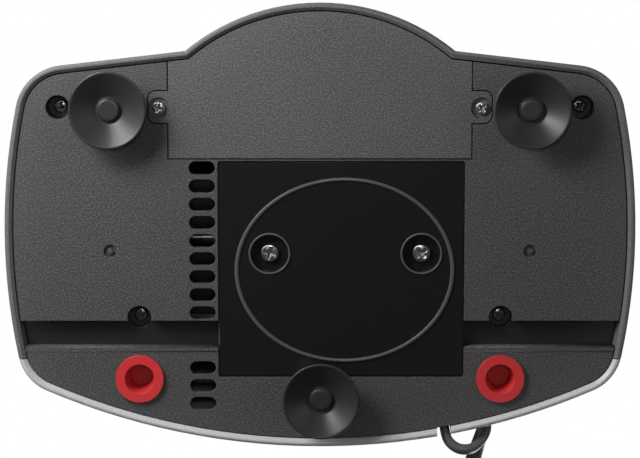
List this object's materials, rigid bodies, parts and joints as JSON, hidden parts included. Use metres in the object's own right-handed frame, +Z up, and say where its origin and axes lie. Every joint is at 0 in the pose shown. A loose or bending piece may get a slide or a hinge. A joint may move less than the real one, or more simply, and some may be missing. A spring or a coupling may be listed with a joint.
{
  "type": "electric knife sharpener",
  "caption": "Electric knife sharpener with leaning blade slots over motor-driven abrasive wheels, rocker switch, suction feet, dust cleanout plugs and a flat twin lead.",
  "frame": {"origin": "centre of the bottom of the object's box, on the surface that it stands on", "axes": "+Z up, -Y towards the user and the switch, +X to the right along the motor shaft"},
  "size_m": [0.2098, 0.2578, 0.106],
  "materials": {
    "charcoal_plastic": "fine textured",
    "silver_plastic": "satin light grey",
    "gloss_black": "polished",
    "black_plastic": "satin",
    "foot_rubber": "glossy soft rubber",
    "red_plastic": "moulded",
    "screw_steel": "zinc plated",
    "stator_steel": "laminated",
    "copper_wire": "enamelled",
    "abrasive_coarse": "coarse grit",
    "abrasive_fine": "fine grit",
    "lead_jacket": "ribbed flat twin jacket",
    "plug_plastic": "moulded",
    "pin_brass": "plain"
  },
  "bodies": {
    "root": {"front_housing": "charcoal_plastic", "rear_housing": "silver_plastic", "base_plate": "charcoal_plastic", "front_cover": "charcoal_plastic", "motor_cover": "gloss_black", "base_screws": "screw_steel", "cover_screws": "screw_steel", "motor_screws": "screw_steel", "foot_front_left": "foot_rubber", "foot_front_right": "foot_rubber", "foot_rear": "foot_rubber", "motor_stator": "stator_steel", "motor_coil": "copper_wire", "bearing_bracket_left": "stator_steel", "bearing_bracket_right": "stator_steel", "bearing_left": "copper_wire", "bearing_right": "copper_wire", "blade_guide_left": "black_plastic", "blade_guide_right": "black_plastic", "wheel_chamber_left": "black_plastic", "wheel_chamber_right": "black_plastic", "switch_body": "black_plastic", "power_cord": "lead_jacket", "cord_coil": "lead_jacket", "cord_tie": "black_plastic", "plug_body": "plug_plastic", "plug_blades": "pin_brass", "strain_relief": "black_plastic", "switch_leads": "lead_jacket"},
    "rotor": {"motor_shaft": "screw_steel", "coarse_wheel": "abrasive_coarse", "fine_wheel": "abrasive_fine", "wheel_nuts": "screw_steel", "rotor_core": "stator_steel", "cooling_fan": "black_plastic"},
    "rocker": {"rocker_button": "black_plastic"},
    "left_cleanout": {"cleanout_plug_left": "red_plastic"},
    "right_cleanout": {"cleanout_plug_right": "red_plastic"}
  },
  "joints": [
    {"name": "motor_spin", "type": "hinge", "parent": "root", "child": "rotor", "pos_m": [0, 0.00885, 0.052], "axis": [1, 0, 0], "continuous": true},
    {"name": "switch_rock", "type": "hinge", "parent": "root", "child": "rocker", "pos_m": [0, -0.04454, 0.04036], "axis": [1, 0, 0], "range_deg": [0, 14]},
    {"name": "left_plug_pull", "type": "slide", "parent": "root", "child": "left_cleanout", "axis": [0, 0, -1], "range_m": [0, 0.015]},
    {"name": "right_plug_pull", "type": "slide", "parent": "root", "child": "right_cleanout", "axis": [0, 0, -1], "range_m": [0, 0.015]}
  ]
}
